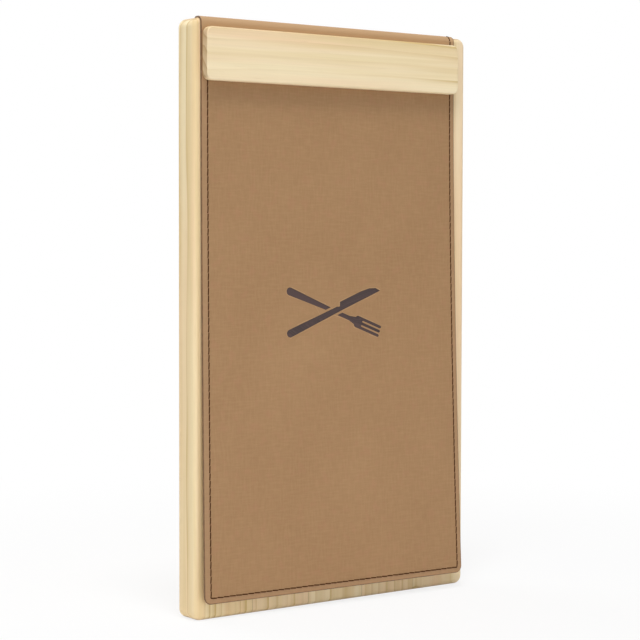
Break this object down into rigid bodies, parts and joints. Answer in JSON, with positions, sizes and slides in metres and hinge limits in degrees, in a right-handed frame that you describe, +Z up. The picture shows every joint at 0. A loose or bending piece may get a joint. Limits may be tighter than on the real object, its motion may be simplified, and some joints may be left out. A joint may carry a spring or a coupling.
{
  "type": "menu clipboard",
  "caption": "Menu clipboard: a wooden board with a stitched leather cover that hangs from a magnetic wooden clamp bar at the top and lifts to show the sheets under it.",
  "frame": {"origin": "middle of the board's bottom edge face, on the surface that the board stands on", "axes": "+Z up the board's height, -Y out of the front with the cover, +X to the right seen from the front"},
  "size_m": [0.198, 0.0278, 0.336],
  "materials": {
    "board_wood": "satin clear lacquer, grain along the board's height",
    "bar_wood": "satin clear lacquer, grain along the bar",
    "cover_leather": "matte tan, fine woven-like emboss, stitched edge",
    "lining_leather": "matte tan, smooth",
    "magnet_nickel": "nickel plated",
    "screw_brass": "satin"
  },
  "bodies": {
    "board": {"stave_1": "board_wood", "stave_2": "board_wood", "stave_3": "board_wood", "stave_4": "board_wood", "stave_5": "board_wood", "board_magnets": "magnet_nickel", "tail_screws": "screw_brass", "skin_tail": "cover_leather", "lining_tail": "lining_leather", "skin_roll": "cover_leather", "lining_roll": "lining_leather"},
    "clamp": {"clamp_bar": "bar_wood", "bar_magnets": "magnet_nickel", "bar_screws": "screw_brass", "skin_clamped": "cover_leather", "lining_clamped": "lining_leather", "skin_fold": "cover_leather", "lining_fold": "lining_leather"},
    "cover": {"skin_flap": "cover_leather", "lining_flap": "lining_leather"}
  },
  "joints": [
    {"name": "clamp_lift", "type": "hinge", "parent": "board", "child": "clamp", "pos_m": [0, -0.0085, 0.335], "axis": [-1, 0, 0], "range_deg": [0, 100], "deforming": ["skin_roll", "lining_roll"]},
    {"name": "cover_lift", "type": "hinge", "parent": "clamp", "child": "cover", "pos_m": [0, -0.0126, 0.29516], "axis": [-1, 0, 0], "range_deg": [0, 170], "deforming": ["skin_fold", "lining_fold"]}
  ]
}
